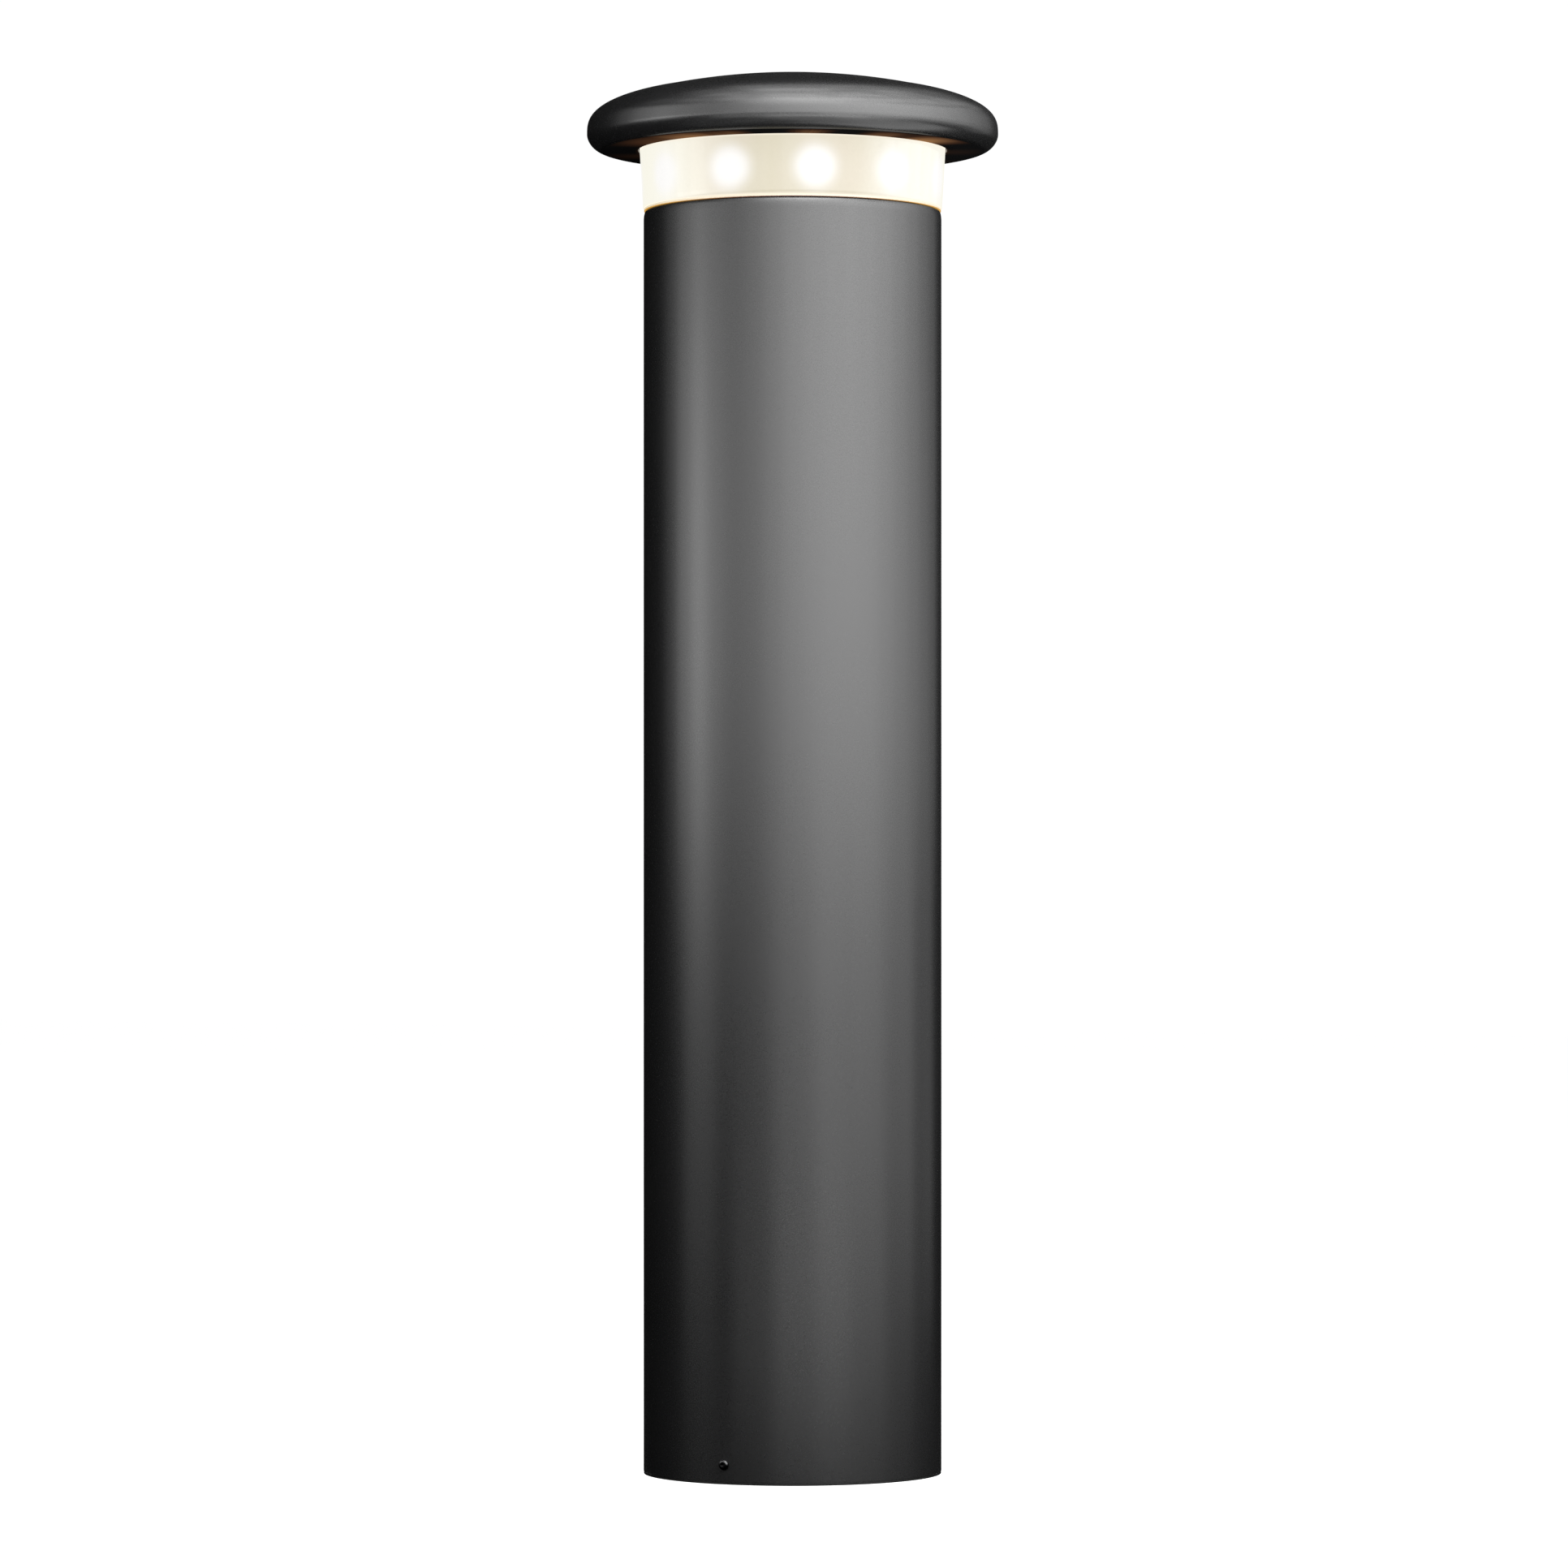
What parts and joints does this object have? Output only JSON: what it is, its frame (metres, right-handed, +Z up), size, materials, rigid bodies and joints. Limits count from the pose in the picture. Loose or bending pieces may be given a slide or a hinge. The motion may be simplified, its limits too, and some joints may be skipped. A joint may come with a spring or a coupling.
{
  "type": "bollard light",
  "caption": "Round column bollard light with a mushroom cap over a frosted light band, on a bolted-down base that the column lifts off.",
  "frame": {"origin": "centre of the base on the ground", "axes": "+Z up along the column, -Y towards the first fixing screw"},
  "size_m": [0.3026, 0.3026, 1.0269],
  "materials": {
    "powder_coat": "fine-textured satin graphite powder coat on aluminium",
    "diffuser_frost": "frosted warm white diffuser, lit from inside",
    "gasket_rubber": "matt black sealing rubber",
    "seal_silicone": "translucent silicone seal under the diffuser",
    "black_screw": "black oxide stainless screw",
    "bare_aluminium": "mill and machined aluminium",
    "zinc_steel": "zinc plated steel",
    "stainless": "plain stainless steel",
    "led_board": "white circuit board with one lens",
    "box_grey": "moulded grey plastic",
    "driver_white": "moulded off-white driver case",
    "black_plastic": "black nylon",
    "terminal_plastic": "moulded natural nylon",
    "cable_black": "black cable sheath",
    "brass": "turned brass"
  },
  "bodies": {
    "base": {"base_flange": "bare_aluminium", "spigot_ring": "bare_aluminium", "foot_gasket": "gasket_rubber", "gear_tray": "zinc_steel", "tray_screw_1": "stainless", "tray_screw_2": "stainless", "driver": "driver_white", "driver_clip_1": "zinc_steel", "driver_clip_2": "zinc_steel", "driver_input_lead": "cable_black", "junction_box": "box_grey", "junction_box_lid": "box_grey", "terminal_block": "terminal_plastic", "inlet_gland": "black_plastic", "through_gland": "black_plastic", "outlet_gland": "black_plastic", "connector_socket": "black_plastic", "earth_stud": "brass"},
    "column": {"column_tube": "powder_coat", "cap": "powder_coat", "diffuser": "diffuser_frost", "lower_gasket": "seal_silicone", "upper_gasket": "gasket_rubber", "mounting_ring": "bare_aluminium", "head_plate": "bare_aluminium", "clamp_plate": "bare_aluminium", "led_core": "bare_aluminium", "lead_to_led": "cable_black", "lead_gland": "black_plastic", "connector_plug": "black_plastic", "thread_insert_1": "zinc_steel", "thread_insert_2": "zinc_steel", "tie_bolt_1": "zinc_steel", "tie_bolt_2": "zinc_steel", "tie_bolt_3": "zinc_steel", "led_board_01": "led_board", "led_board_02": "led_board", "led_board_03": "led_board", "led_board_04": "led_board", "led_board_05": "led_board", "led_board_06": "led_board", "led_board_07": "led_board", "led_board_08": "led_board", "led_board_09": "led_board", "led_board_10": "led_board", "led_board_11": "led_board"},
    "fixing_screw_1": {"fixing_screw_1": "black_screw"},
    "fixing_screw_2": {"fixing_screw_2": "black_screw"}
  },
  "joints": [
    {"name": "column_lift", "type": "slide", "parent": "base", "child": "column", "axis": [0, 0, 1], "range_m": [0, 0.42]},
    {"name": "fixing_screw_1_back_out", "type": "slide", "parent": "column", "child": "fixing_screw_1", "axis": [0, -1, 0], "range_m": [0, 0.006]},
    {"name": "fixing_screw_2_back_out", "type": "slide", "parent": "column", "child": "fixing_screw_2", "axis": [0, 1, 0], "range_m": [0, 0.006]}
  ]
}
